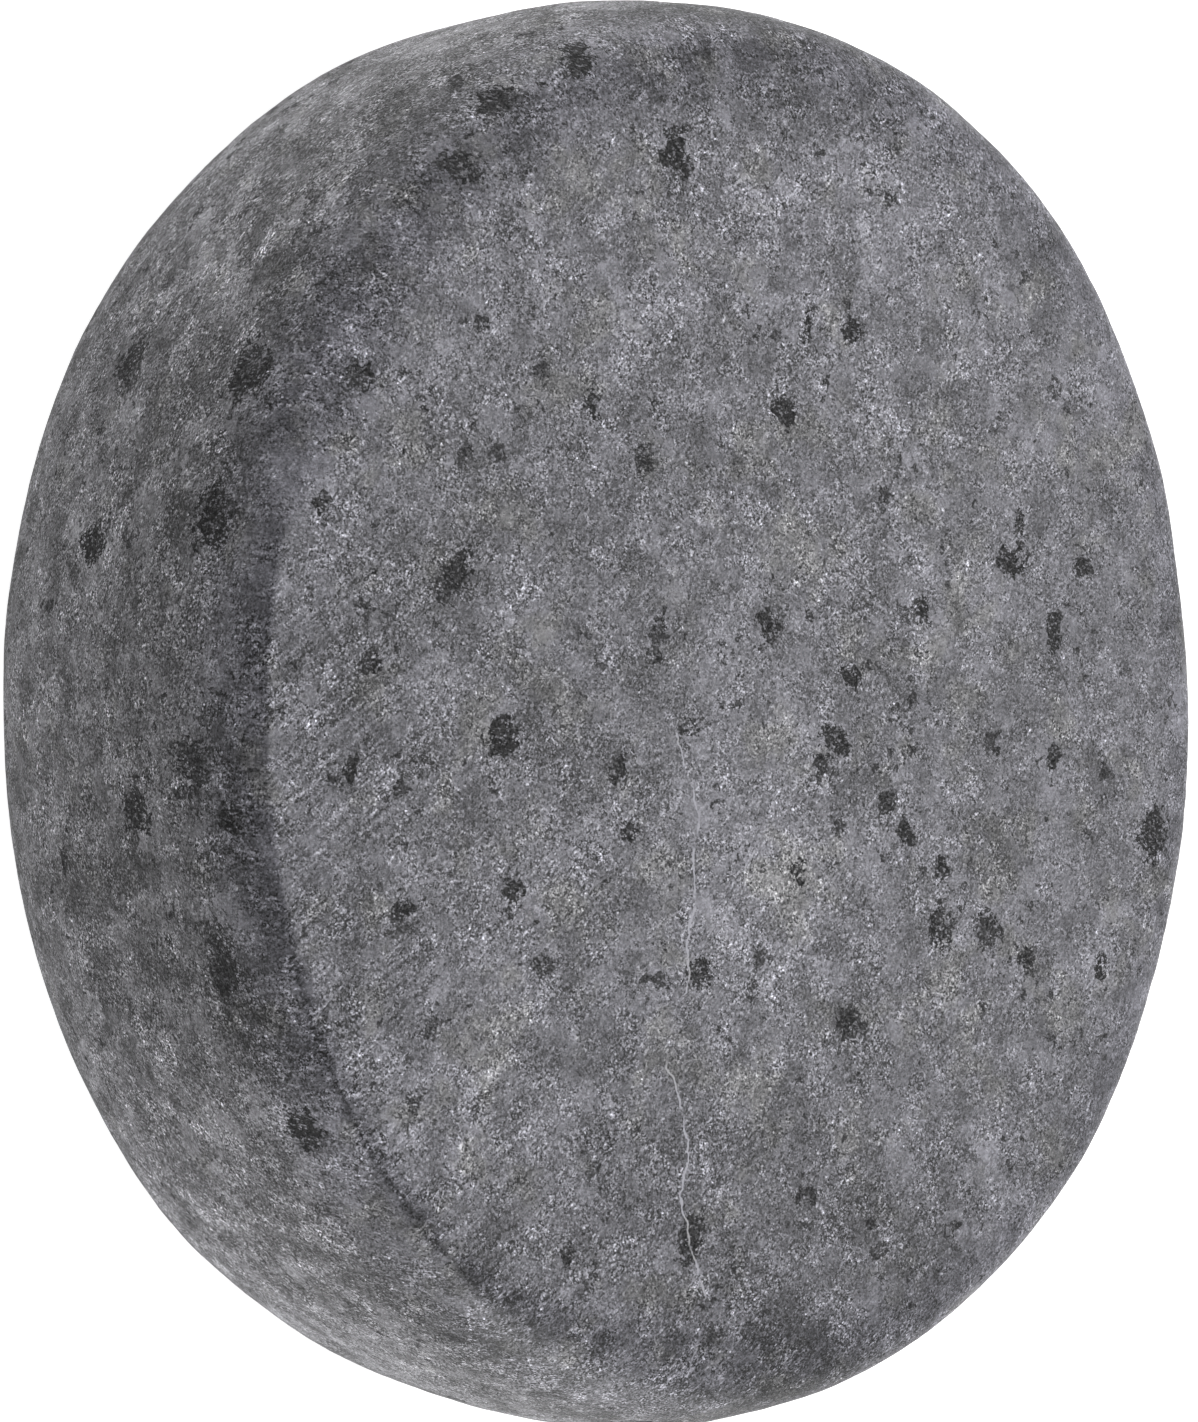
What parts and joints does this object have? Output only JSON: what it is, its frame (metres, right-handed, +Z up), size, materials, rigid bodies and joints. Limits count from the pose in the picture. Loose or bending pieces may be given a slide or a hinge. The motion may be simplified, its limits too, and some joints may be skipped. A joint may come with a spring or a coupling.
{
  "type": "massage stone",
  "caption": "Smooth oval basalt massage stone with rounded sides, a slightly domed massage face and a flat underside it rests on.",
  "frame": {"origin": "centre of the flat underside, on the surface the stone lies on", "axes": "+X along the stone's length, +Y across it, +Z up out of the massage face"},
  "size_m": [0.08, 0.067, 0.031],
  "materials": {
    "basalt": "matte"
  },
  "bodies": {
    "root": {"massage_stone": "basalt"}
  },
  "joints": []
}
